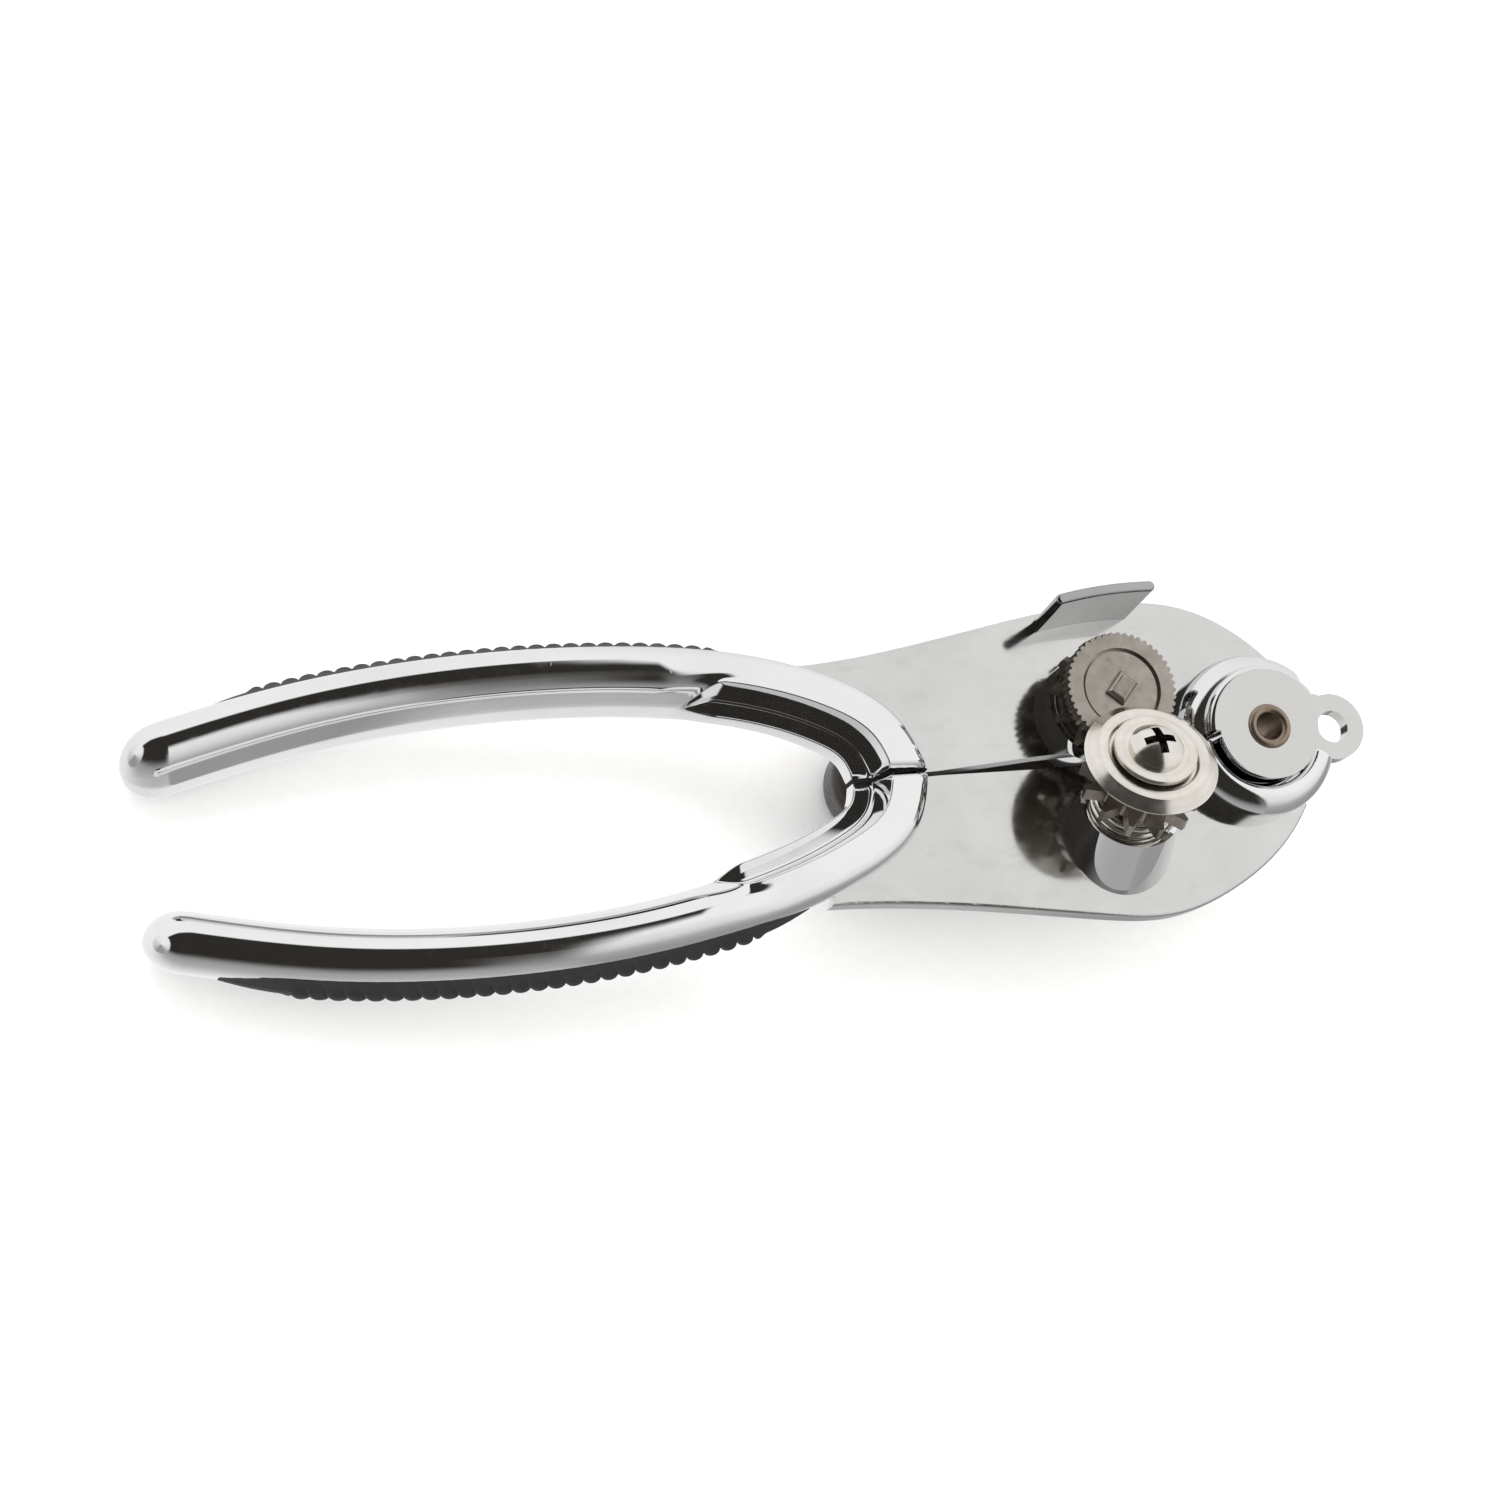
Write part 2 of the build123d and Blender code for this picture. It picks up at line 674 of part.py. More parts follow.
head_edge = WASHER_TOP + SCREW_HEAD_RIM
dome_rise = SCREW_HEAD_TOP - head_edge
dome_r = (SCREW_HEAD_R**2 + dome_rise**2) / (2 * dome_rise)
dome_half = math.asin(SCREW_HEAD_R / dome_r) / 2
dome_middle = (
    dome_r * math.sin(dome_half),
    SCREW_HEAD_TOP - dome_r + dome_r * math.cos(dome_half),
)
with BuildPart() as cutter_screw:
    with BuildSketch(cutter_section):
        with BuildLine():
            Polyline(
                (0, SCREW_END),
                (SCREW_R, SCREW_END),
                (SCREW_R, WASHER_TOP),
                (SCREW_HEAD_R, WASHER_TOP),
                (SCREW_HEAD_R, head_edge),
            )
            ThreePointArc((SCREW_HEAD_R, head_edge), dome_middle, (0, SCREW_HEAD_TOP))
            Line((0, SCREW_HEAD_TOP), (0, SCREW_END))
        make_face()
    revolve(axis=cutter_line)
    with BuildSketch(cutter_plane.offset(SCREW_HEAD_TOP)):
        Rectangle(*SCREW_CROSS)
        Rectangle(*SCREW_CROSS, rotation=90)
    extrude(amount=-SCREW_CROSS_DEPTH, mode=Mode.SUBTRACT)
save(cutter_screw, "cutter_screw")

# -------------------------------------------------------------- cutter's wheel
with BuildPart() as cutter_wheel:
    with BuildSketch(cutter_section):
        Polygon(
            (SLEEVE_R + RUNNING_CLEARANCE, CUTTER_BOTTOM),
            (CUTTER_R, CUTTER_BOTTOM),
            (CUTTER_R, 0.05),
            (CUTTER_BEVEL_R, CUTTER_TOP),
            (6.9, CUTTER_TOP),
            (6.5, CUTTER_TOP - 0.3),
            (SLEEVE_R + RUNNING_CLEARANCE, CUTTER_TOP - 0.3),
            align=None,
        )
    revolve(axis=cutter_line)
save(cutter_wheel, "cutter_wheel")

with BuildPart() as cutter_gear:
    with BuildSketch(cutter_plane.offset(CUTTER_GEAR_BOTTOM)):
        add(star_gear(90.0))
    extrude(amount=CUTTER_GEAR_TOP - CUTTER_GEAR_BOTTOM)
    with BuildSketch(cutter_plane.offset(CUTTER_GEAR_TOP)):
        Circle(CUTTER_HUB_R)
    extrude(amount=CUTTER_BOTTOM - CUTTER_GEAR_TOP)
    with BuildSketch(cutter_plane.offset(CUTTER_GEAR_BOTTOM)):
        Circle(SLEEVE_R + RUNNING_CLEARANCE)
    extrude(amount=CUTTER_BOTTOM - CUTTER_GEAR_BOTTOM, mode=Mode.SUBTRACT)
save(cutter_gear, "cutter_gear")
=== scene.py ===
"""Looks of a plier-type can opener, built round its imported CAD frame."""

import json
import math

import bmesh
import bpy
import numpy as np
from mathutils import Matrix, Vector


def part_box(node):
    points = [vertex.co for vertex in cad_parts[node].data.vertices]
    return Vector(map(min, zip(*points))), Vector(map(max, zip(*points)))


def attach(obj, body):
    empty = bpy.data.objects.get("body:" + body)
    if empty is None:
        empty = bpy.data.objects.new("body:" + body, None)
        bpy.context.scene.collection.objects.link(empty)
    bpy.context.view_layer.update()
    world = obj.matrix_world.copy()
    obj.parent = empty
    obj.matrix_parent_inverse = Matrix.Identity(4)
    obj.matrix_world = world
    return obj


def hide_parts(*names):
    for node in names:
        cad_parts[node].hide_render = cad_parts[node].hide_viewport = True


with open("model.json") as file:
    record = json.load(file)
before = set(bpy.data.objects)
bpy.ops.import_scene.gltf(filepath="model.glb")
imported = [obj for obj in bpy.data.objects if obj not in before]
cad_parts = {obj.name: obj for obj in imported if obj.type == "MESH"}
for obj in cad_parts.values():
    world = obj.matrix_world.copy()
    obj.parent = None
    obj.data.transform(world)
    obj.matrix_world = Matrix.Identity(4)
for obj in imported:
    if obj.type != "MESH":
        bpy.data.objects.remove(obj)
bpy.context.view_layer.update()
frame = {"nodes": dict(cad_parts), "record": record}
MM = 0.001
SMALLEST_EDGE = 0.002

# ------------------------------------------------------------------ sizes, mm
HANDLE_TOP = 5.0
HANDLE_BOTTOM = -9.0
TIP_ROUNDING = 5.5
TIP_RING_ANGLES = (2, 8, 16, 26, 37, 49, 62, 76)
HANDLE_RINGS = 300
# plan centre lines of the handles, from the tip to the crotch
UPPER_LINE = [
    (-168.0, 12.4),
    (-145.0, 17.3),
    (-120.0, 19.6),
    (-98.0, 19.0),
    (-80.0, 16.3),
    (-67.0, 11.6),
    (-60.0, 6.2),
    (-57.4, -1.4),
]
LOWER_LINE = [
    (-168.0, -11.0),
    (-145.0, -16.5),
    (-120.0, -19.0),
    (-98.0, -18.2),
    (-80.0, -15.1),
    (-67.0, -10.9),
    (-60.0, -6.2),
    (-57.4, 1.4),
]
# width of a handle at shares of its length
HANDLE_STATIONS = [
    (0.00, 8.7),
    (0.10, 8.7),
    (0.20, 8.6),
    (0.32, 8.4),
    (0.45, 8.3),
    (0.58, 8.3),
    (0.70, 8.4),
    (0.81, 8.5),
    (0.90, 8.8),
    (0.96, 9.6),
    (1.00, 10.0),
]
CROTCH_Y = 0.35
CROTCH_ROUNDING = 1.3
# share of the height that a handle loses where it meets the other
CROTCH_DROP = 0.16
# corners of the handle's section: share of the half width to the outer side,
# shift to the outer side in mm, height in mm, rounding in mm
PLAIN_SECTION = [
    (0.60, 0.0, -7.4, 2.4),
    (0.96, 0.0, -2.6, 2.4),
    (1.03, 0.0, 2.2, 2.0),
    (0.72, 0.0, 4.7, 2.0),
    (0.08, 0.0, 5.75, 2.6),
    (-0.62, 0.0, 4.0, 2.4),
    (-0.93, 0.0, 0.55, 0.22),
    (-0.99, 0.0, -0.25, 0.30),
    (-1.00, 0.0, -0.9, 0.35),
    (-1.00, 0.0, -6.6, 1.8),
    (-0.70, 0.0, -9.15, 1.8),
    (-0.05, 0.0, -9.1, 2.0),
]
# the same corners where the hollow and its inner web are
HOLLOW_SECTION = [
    (0.55, 0.0, -6.4, 2.0),
    (0.96, 0.0, -2.6, 2.4),
    (1.03, 0.0, 2.2, 2.0),
    (0.82, 0.0, 4.1, 2.0),
    (0.26, 0.0, 4.75, 1.6),
    (-0.08, 0.0, 5.1, 0.6),
    (-0.32, 0.0, 5.35, 0.25),
    (-0.58, 0.0, -0.3, 0.9),
    (-1.00, -1.2, 0.85, 0.40),
    (-1.00, -1.2, -2.8, 0.45),
    (-0.55, 0.0, -3.1, 0.9),
    (0.00, 0.0, -6.2, 1.6),
]
# stretch along X over which the hollow opens
HOLLOW_X = (-87.6, -81.6)
# the front corners change over a longer stretch than the ridge and the pocket
FRONT_X = (-91.5, -78.0)
FRONT_CORNERS = (2, 3, 4, 5)
# the handle's outer side under the grip: height in mm, share of the half width
HANDLE_OUTER = [
    (-7.0, 0.55),
    (-5.5, 0.74),
    (-3.8, 0.88),
    (-2.2, 0.96),
    (-0.4, 1.00),
    (1.2, 0.995),
    (2.4, 0.95),
    (3.3, 0.86),
    (4.0, 0.74),
]
GRIP_START = 0.09
GRIP_END = 0.79
GRIP_FRONT = 3.7
GRIP_BACK = -6.0
GRIP_PROUD = 1.0
GRIP_SUNK = 0.5
GRIP_RINGS = 760
GRIP_OUTER_POINTS = 30
GRIP_INNER_POINTS = 5
GRIP_END_DEPTH = 0.25
GRIP_LIFT = 0.02
LINE_STEPS = 1199
# thickness of the pad over its depth, from its back edge (-1) to its front edge (1)
GRIP_BULGE = [
    (-1.0, 0.0),
    (-0.93, 0.5),
    (-0.78, 0.9),
    (-0.5, 1.0),
    (0.0, 1.0),
    (0.2, 0.82),
    (0.4, 0.5),
    (0.68, 0.17),
    (1.0, 0.0),
]
RIB_START_X = -148.5
RIB_END_X = -81.4
RIB_PITCH = 2.5
RIB_HEIGHT = 0.9
RIB_SLANT = 0.42
RIB_WRAP = 1.6
RIB_VALLEY = 0.35
DRIVE_AXIS = (-23.8, 7.3, 0.0)
CUTTER_CENTRE = (-23.7, -5.0, 15.7)
CUTTER_TILT = math.radians(23.0)
CUTTER_RING_PITCH = 0.32
CUTTER_BAND_PITCH = 1.15
DRIVE_RING_PITCH = 0.4
# distance in mm that counts as 1 in the two ramps of the screw's cross recess
RECESS_SCALE = 5.0


# ------------------------------------------------------------- node materials
class Nodes:
    """Short calls for building one material's node tree."""

    def __init__(self, name):
        self.material = bpy.data.materials.new(name)
        self.material.use_nodes = True
        self.tree = self.material.node_tree
        self.tree.nodes.clear()
        out = self.tree.nodes.new("ShaderNodeOutputMaterial")
        self.shader = self.tree.nodes.new("ShaderNodeBsdfPrincipled")
        self.link(self.shader.outputs[0], out.inputs[0])
        place = self.tree.nodes.new("ShaderNodeTexCoord")
        self.place = place.outputs["Object"]

    def link(self, source, target):
        self.tree.links.new(source, target)

    def set(self, name, value):
        self.shader.inputs[name].default_value = value

    def noise(self, scale, detail=3.0, rough=0.55, stretch=(1, 1, 1), spin=0.0, distort=0.0):
        """A noise over the object; scale counts its blobs per metre."""
        mapping = self.tree.nodes.new("ShaderNodeMapping")
        mapping.inputs["Scale"].default_value = stretch
        mapping.inputs["Rotation"].default_value = (0, 0, spin)
        self.link(self.place, mapping.inputs["Vector"])
        node = self.tree.nodes.new("ShaderNodeTexNoise")
        node.inputs["Scale"].default_value = scale
        node.inputs["Detail"].default_value = detail
        node.inputs["Roughness"].default_value = rough
        node.inputs["Distortion"].default_value = distort
        self.link(mapping.outputs[0], node.inputs["Vector"])
        return node.outputs["Fac"]

    def ramp(self, value, low, high, at=(0.3, 0.7)):
        """Spreads a 0 to 1 value between two colours or two numbers."""
        node = self.tree.nodes.new("ShaderNodeValToRGB")
        points = node.color_ramp.elements
        points[0].position, points[1].position = at
        points[0].color = self.colour(low)
        points[1].color = self.colour(high)
        self.link(value, node.inputs[0])
        return node.outputs[0]

    def colour(self, value):
        if isinstance(value, (int, float)):
            return (value, value, value, 1)
        return (*value, 1)

    def math(self, kind, *values):
        node = self.tree.nodes.new("ShaderNodeMath")
        node.operation = kind
        for index, value in enumerate(values):
            if isinstance(value, (int, float)):
                node.inputs[index].default_value = value
            else:
                self.link(value, node.inputs[index])
        return node.outputs[0]

    def mix(self, share, first, second):
        node = self.tree.nodes.new("ShaderNodeMix")
        node.data_type = "RGBA"
        self.link(share, node.inputs[0])
        for index, value in ((6, first), (7, second)):
            if isinstance(value, tuple):
                node.inputs[index].default_value = self.colour(value)
            else:
                self.link(value, node.inputs[index])
        return node.outputs[2]

    def polar(self, centre, tilt):
        """Distance from an axis through centre that leans towards +Y, and height."""
        mapping = self.tree.nodes.new("ShaderNodeMapping")
        mapping.vector_type = "TEXTURE"
        mapping.inputs["Location"].default_value = [c * MM for c in centre]
        mapping.inputs["Rotation"].default_value = (-tilt, 0, 0)
        self.link(self.place, mapping.inputs["Vector"])
        split = self.tree.nodes.new("ShaderNodeSeparateXYZ")
        self.link(mapping.outputs[0], split.inputs[0])
        across = self.math("MULTIPLY", split.outputs[0], split.outputs[0])
        along = self.math("MULTIPLY", split.outputs[1], split.outputs[1])
        return self.math("SQRT", self.math("ADD", across, along)), split.outputs[2]

    def waves(self, distance, pitch):
        """A sine over a distance in metres, one turn for each pitch in mm."""
        return self.math("SINE", self.math("MULTIPLY", distance, 2 * math.pi / (pitch * MM)))

    def bump(self, height, strength, distance):
        node = self.tree.nodes.new("ShaderNodeBump")
        node.inputs["Strength"].default_value = strength
        node.inputs["Distance"].default_value = distance * MM
        self.link(height, node.inputs["Height"])
        self.link(node.outputs[0], self.shader.inputs["Normal"])
        return self.material


def satin_plate():
    """Ground and plated sheet: faint mottling, smudges and fine scratches."""
    n = Nodes("satin_plate")
    n.set("Metallic", 1.0)
    blotches = n.noise(55, 5, 0.6, distort=0.4)
    smudges = n.noise(160, 4, 0.65, stretch=(1, 1.6, 1), spin=0.5)
    tone = n.ramp(blotches, (0.62, 0.615, 0.60), (0.69, 0.69, 0.68), (0.3, 0.72))
    tone = n.mix(n.ramp(smudges, 0.0, 0.5, (0.52, 0.85)), tone, (0.55, 0.545, 0.53))
    n.link(tone, n.shader.inputs["Base Color"])
    grind = n.noise(900, 3, 0.7, stretch=(0.03, 1, 1), spin=0.06)
    scratch = n.noise(1500, 2, 0.5, stretch=(0.02, 1, 1), spin=-0.35)
    rough = n.mix(n.ramp(smudges, 0.0, 1.0, (0.35, 0.8)), (0.08,) * 3, (0.14,) * 3)
    rough = n.mix(n.ramp(grind, 0.0, 0.35, (0.5, 0.75)), rough, (0.2,) * 3)
    n.link(rough, n.shader.inputs["Roughness"])
    scratches = n.ramp(scratch, 0.0, 0.5, (0.62, 0.7))
    lines = n.math("ADD", n.math("MULTIPLY", grind, 0.6), scratches)
    return n.bump(lines, 0.12, 0.02)


def chrome(name, dark, light):
    """Mirror plate with the soft waviness of a cast body and a few dull specks."""
    n = Nodes(name)
    n.set("Metallic", 1.0)
    clouds = n.noise(70, 3, 0.5)
    tone = n.ramp(clouds, (dark, dark, dark * 1.01), (light,) * 3)
    n.link(tone, n.shader.inputs["Base Color"])
    wear = n.noise(420, 4, 0.7)
    n.link(n.ramp(wear, 0.035, 0.11, (0.5, 0.85)), n.shader.inputs["Roughness"])
    wave = n.noise(95, 1, 0.4)
    specks = n.ramp(n.noise(650, 1, 0.4), 0.0, 1.0, (0.74, 0.80))
    height = n.math("ADD", wave, n.math("MULTIPLY", specks, 0.12))
    return n.bump(height, 0.18, 0.12)


def brushed_cap():
    """The pivot cap: mirror sides and a satin top."""
    n = Nodes("brushed_cap")
    n.set("Metallic", 1.0)
    split = n.tree.nodes.new("ShaderNodeSeparateXYZ")
    where = n.tree.nodes.new("ShaderNodeNewGeometry")
    n.link(where.outputs["Normal"], split.inputs[0])
    top = n.ramp(split.outputs[2], 0.0, 1.0, (0.93, 0.985))
    clouds = n.noise(70, 3, 0.5)
    tone = n.mix(top, (0.84, 0.842, 0.85), (0.65, 0.645, 0.63))
    tone = n.mix(n.ramp(clouds, 0.0, 0.3), tone, (0.58, 0.575, 0.56))
    n.link(tone, n.shader.inputs["Base Color"])
    grind = n.noise(900, 3, 0.7, stretch=(0.05, 1, 1), spin=0.4)
    rough = n.mix(top, (0.045,) * 3, (0.15,) * 3)
    rough = n.mix(n.ramp(grind, 0.0, 0.3, (0.5, 0.8)), rough, (0.22,) * 3)
    n.link(rough, n.shader.inputs["Roughness"])
    return n.bump(grind, 0.06, 0.02)


def nickel_steel(name, low, high):
    """Nickel-plated hardened steel, warm grey and slightly uneven."""
    n = Nodes(name)
    n.set("Metallic", 1.0)
    cloud = n.noise(230, 5, 0.65)
    grime_and_painted_shade = n.noise(700, 4, 0.7)
    tone = n.ramp(cloud, low, high, (0.3, 0.7))
    tone = n.mix(n.ramp(grime_and_painted_shade, 0.0, 0.6, (0.55, 0.8)), tone, (0.19, 0.16, 0.135))
    n.link(tone, n.shader.inputs["Base Color"])
    n.link(n.ramp(grime_and_painted_shade, 0.24, 0.46), n.shader.inputs["Roughness"])
    return n.bump(n.math("ADD", grime_and_painted_shade, n.noise(2400, 2, 0.6)), 0.10, 0.05)


def turned_steel():
    """Bright turned steel with lathe rings round the cutter's axis."""
    n = Nodes("turned_steel")
    n.set("Metallic", 1.0)
    radius = n.polar(CUTTER_CENTRE, CUTTER_TILT)[0]
    rings = n.waves(radius, CUTTER_RING_PITCH)
    bands = n.waves(radius, CUTTER_BAND_PITCH)
    cloud = n.noise(260, 4, 0.6)
    tone = n.ramp(cloud, (0.70, 0.665, 0.61), (0.82, 0.79, 0.74), (0.3, 0.7))
    shade = n.ramp(n.math("MULTIPLY_ADD", bands, 0.5, 0.5), 0.0, 0.22, (0.2, 0.9))
    tone = n.mix(shade, tone, (0.60, 0.56, 0.50))
    n.link(tone, n.shader.inputs["Base Color"])
    n.link(n.ramp(n.noise(500, 2, 0.6), 0.16, 0.26), n.shader.inputs["Roughness"])
    return n.bump(n.math("ADD", n.math("MULTIPLY", rings, 0.2), cloud), 0.06, 0.015)


def recessed_screw():
    """Bright screw whose cross recess is painted dark as shade."""
    n = Nodes("recessed_screw")
    n.set("Metallic", 1.0)
    radius, height = n.polar(CUTTER_CENTRE, CUTTER_TILT)
    inside = n.ramp(n.math("DIVIDE", radius, RECESS_SCALE * MM), 1.0, 0.0, (0.48, 0.52))
    deep = n.ramp(n.math("DIVIDE", height, RECESS_SCALE * MM), 1.0, 0.0, (0.80, 0.87))
    # painted shade: the middle of the head, where the cross recess is, is masked for a
    # near-black colour
    grime_and_painted_shade = n.math("MULTIPLY", inside, deep)
    cloud = n.noise(260, 4, 0.6)
    tone = n.ramp(cloud, (0.70, 0.665, 0.61), (0.82, 0.79, 0.74), (0.3, 0.7))
    # the near-black colour is painted shade in the cross recess
    tone = n.mix(grime_and_painted_shade, tone, (0.06, 0.045, 0.035))
    n.link(tone, n.shader.inputs["Base Color"])
    wear = n.noise(500, 2, 0.6)
    rough = n.mix(grime_and_painted_shade, n.ramp(wear, 0.14, 0.22), (0.5,) * 3)
    n.link(rough, n.shader.inputs["Roughness"])
    return n.bump(cloud, 0.06, 0.015)


def turned_drive():
    """Plated turned steel with lathe rings round the drive axis."""
    n = Nodes("turned_drive")
    n.set("Metallic", 1.0)
    radius = n.polar(DRIVE_AXIS, 0.0)[0]
    rings = n.waves(radius, DRIVE_RING_PITCH)
    cloud = n.noise(300, 5, 0.65)
    grime_and_painted_shade = n.noise(800, 4, 0.7)
    tone = n.ramp(cloud, (0.37, 0.34, 0.295), (0.48, 0.445, 0.40), (0.3, 0.7))
    tone = n.mix(n.ramp(grime_and_painted_shade, 0.0, 0.5, (0.58, 0.8)), tone, (0.21, 0.18, 0.15))
    n.link(tone, n.shader.inputs["Base Color"])
    n.link(n.ramp(grime_and_painted_shade, 0.26, 0.44), n.shader.inputs["Roughness"])
    return n.bump(n.math("ADD", n.math("MULTIPLY", rings, 0.3), grime_and_painted_shade), 0.12, 0.03)


def bronze():
    """Sintered bronze: porous and dull."""
    n = Nodes("sintered_bronze")
    n.set("Metallic", 1.0)
    pores = n.noise(2600, 2, 0.5)
    tone = n.ramp(pores, (0.30, 0.19, 0.10), (0.54, 0.37, 0.21))
    n.link(tone, n.shader.inputs["Base Color"])
    n.link(n.ramp(pores, 0.55, 0.36), n.shader.inputs["Roughness"])
    return n.bump(pores, 0.3, 0.06)


def rubber():
    """Matte moulded rubber with a fine bloom and rubbed high spots."""
    n = Nodes("grip_rubber")
    bloom = n.noise(190, 4, 0.6)
    grain = n.noise(3200, 2, 0.6)
    tone = n.ramp(bloom, (0.011, 0.011, 0.0105), (0.021, 0.0205, 0.0195), (0.3, 0.75))
    n.link(tone, n.shader.inputs["Base Color"])
    n.link(n.ramp(bloom, 0.52, 0.68), n.shader.inputs["Roughness"])
    n.set("Specular IOR Level", 0.42)
    return n.bump(n.math("ADD", grain, n.math("MULTIPLY", bloom, 0.6)), 0.22, 0.06)


def key_plastic():
    """Dark moulded plastic with a fine spark-eroded grain."""
    n = Nodes("key_plastic")
    bloom = n.noise(120, 4, 0.6)
    grain = n.noise(1900, 3, 0.6)
    tone = n.ramp(bloom, (0.020, 0.015, 0.013), (0.040, 0.031, 0.026), (0.3, 0.75))
    n.link(tone, n.shader.inputs["Base Color"])
    n.link(n.ramp(grain, 0.30, 0.48), n.shader.inputs["Roughness"])
    return n.bump(grain, 0.2, 0.08)


def paper_floor():
    """White sweep under the object, with a barely visible grain."""
    n = Nodes("paper_floor")
    grain = n.noise(600, 3, 0.6)
    tone = n.ramp(grain, (0.93, 0.925, 0.92), (0.96, 0.957, 0.955))
    n.link(tone, n.shader.inputs["Base Color"])
    n.link(n.ramp(grain, 0.75, 0.85), n.shader.inputs["Roughness"])
    return n.bump(grain, 0.05, 0.05)


FINISHES = {
    "satin_plate": satin_plate(),
    "chrome": chrome("mirror_chrome", 0.79, 0.86),
    "nickel_steel": nickel_steel("nickel_steel", (0.31, 0.275, 0.24), (0.45, 0.41, 0.365)),
    "bright_steel": turned_steel(),
    "bronze": bronze(),
    "grip_rubber": rubber(),
    "key_plastic": key_plastic(),
}
turned = turned_drive()
# nodes whose finish differs from the rest of their slot
OWN_FINISHES = {
    "pivot_boss": brushed_cap(),
    "cutter_screw": recessed_screw(),
    "pivot_rivet": nickel_steel("warm_nickel", (0.25, 0.19, 0.14), (0.38, 0.31, 0.25)),
    "guide_tab": chrome("dull_chrome", 0.38, 0.46),
    "feed_wheel": turned,
    "feed_retainer": turned,
    "thrust_washer": turned,
    "gear_spacer": turned,
}


def finish_nodes():
    """Gives every CAD node its own procedural finish, or else that of its slot."""
    slots = {s["node"]: s["material_slot"] for s in frame["record"]["subparts"]}
    for name, node in frame["nodes"].items():
        node.data.materials.clear()
        node.data.materials.append(OWN_FINISHES.get(name) or FINISHES[slots[name]])


# -------------------------------------------------------------- curve helpers
def smooth_line(points, count):
    """Evenly spaced points and directions on a smooth curve through plan points."""
    knots = np.array(points, float)
    steps = np.hypot(*np.diff(knots, axis=0).T)
    t = np.concatenate([[0.0], np.cumsum(steps)])
    size = len(t)
    h = np.diff(t)
    system = np.zeros((size, size))
    right = np.zeros((size, 2))
    slope = np.diff(knots, axis=0) / h[:, None]
    for i in range(1, size - 1):
        system[i, i - 1] = h[i - 1]
        system[i, i] = 2 * (h[i - 1] + h[i])
        system[i, i + 1] = h[i]
        right[i] = 6 * (slope[i] - slope[i - 1])
    system[0, 0] = system[-1, -1] = 1.0
    bend = np.linalg.solve(system, right)
    fine = np.linspace(0, t[-1], 2001)
    place = np.clip(np.searchsorted(t, fine) - 1, 0, size - 2)
    a = (t[place + 1] - fine) / h[place]
    b = 1 - a
    curve = (
        a[:, None] * knots[place]
        + b[:, None] * knots[place + 1]
        + ((a**3 - a)[:, None] * bend[place] + (b**3 - b)[:, None] * bend[place + 1])
        * (h[place] ** 2)[:, None]
        / 6
    )
    lengths = np.concatenate([[0.0], np.cumsum(np.hypot(*np.diff(curve, axis=0).T))])
    wanted = np.linspace(0, lengths[-1], count)
    xy = np.c_[np.interp(wanted, lengths, curve[:, 0]), np.interp(wanted, lengths, curve[:, 1])]
    along = np.gradient(xy, axis=0)
    along /= np.hypot(*along.T)[:, None]
    return xy, along, lengths[-1]


def ease(value, low, high):
    """0 below low, 1 above high and smooth in between."""
    t = min(1.0, max(0.0, (value - low) / (high - low)))
    return t * t * (3 - 2 * t)


def rounded_profile(corners, radii):
    """Points round a closed outline whose corners are rounded by quadratic arcs."""
    steps = 7
    points = []
    count = len(corners)
    for i in range(count):
        corner = Vector(corners[i])
        before = Vector(corners[i - 1]) - corner
        after = Vector(corners[(i + 1) % count]) - corner
        reach = radii[i]
        start = corner + before.normalized() * min(reach, before.length * 0.49)
        end = corner + after.normalized() * min(reach, after.length * 0.49)
        for k in range(steps):
            t = k / (steps - 1)
            points.append((1 - t) ** 2 * start + 2 * t * (1 - t) * corner + t**2 * end)
    return points


def skin(name, rings, sharp):
    """A closed smooth mesh piece through rings of points given in mm.

    Edges that turn by more than sharp, in degrees, stay hard.
    """
    bm = bmesh.new()
    rows = [[bm.verts.new(Vector(p) * MM) for p in ring] for ring in rings]
    count = len(rows[0])
    for one, two in zip(rows, rows[1:]):
        for i in range(count):
            j = (i + 1) % count
            bm.faces.new((one[i], one[j], two[j], two[i]))
    for row in (rows[0], rows[-1]):
        middle = bm.verts.new(sum((v.co for v in row), Vector()) / count)
        for i in range(count):
            bm.faces.new((row[i], row[(i + 1) % count], middle))
    bmesh.ops.dissolve_degenerate(bm, dist=SMALLEST_EDGE * MM, edges=bm.edges)
    bmesh.ops.recalc_face_normals(bm, faces=bm.faces)
    mesh = bpy.data.meshes.new(name)
    bm.to_mesh(mesh)
    bm.free()
    mesh.shade_smooth()
    mesh.set_sharp_from_angle(angle=math.radians(sharp))
    piece = bpy.data.objects.new(name, mesh)
    bpy.context.scene.collection.objects.link(piece)
    return piece


# -------------------------------------------------------------------- handles
def handle_section(half, hollow, front):
    """Section of a handle: u to the outer side, w forwards.

    The front is a broad round with a crisp ridge along its inner edge, above a
    tall inner wall; towards the crotch (hollow 1) the ridge moves outwards and a
    pocket opens between it and a thin web at the level of the plates.
    """
    corners = []
    radii = []
    for index, (plain, deep) in enumerate(zip(PLAIN_SECTION, HOLLOW_SECTION)):
        change = front if index in FRONT_CORNERS else hollow
        share, shift, height, rounding = [a + (b - a) * change for a, b in zip(plain, deep)]
        corners.append((half * share + shift, height))
        radii.append(rounding)
    return rounded_profile(corners, radii)


def from_table(table, value):
    """Straight-line value between the rows of a two-column table."""
    places, values = zip(*table)
    return float(np.interp(value, places, values))


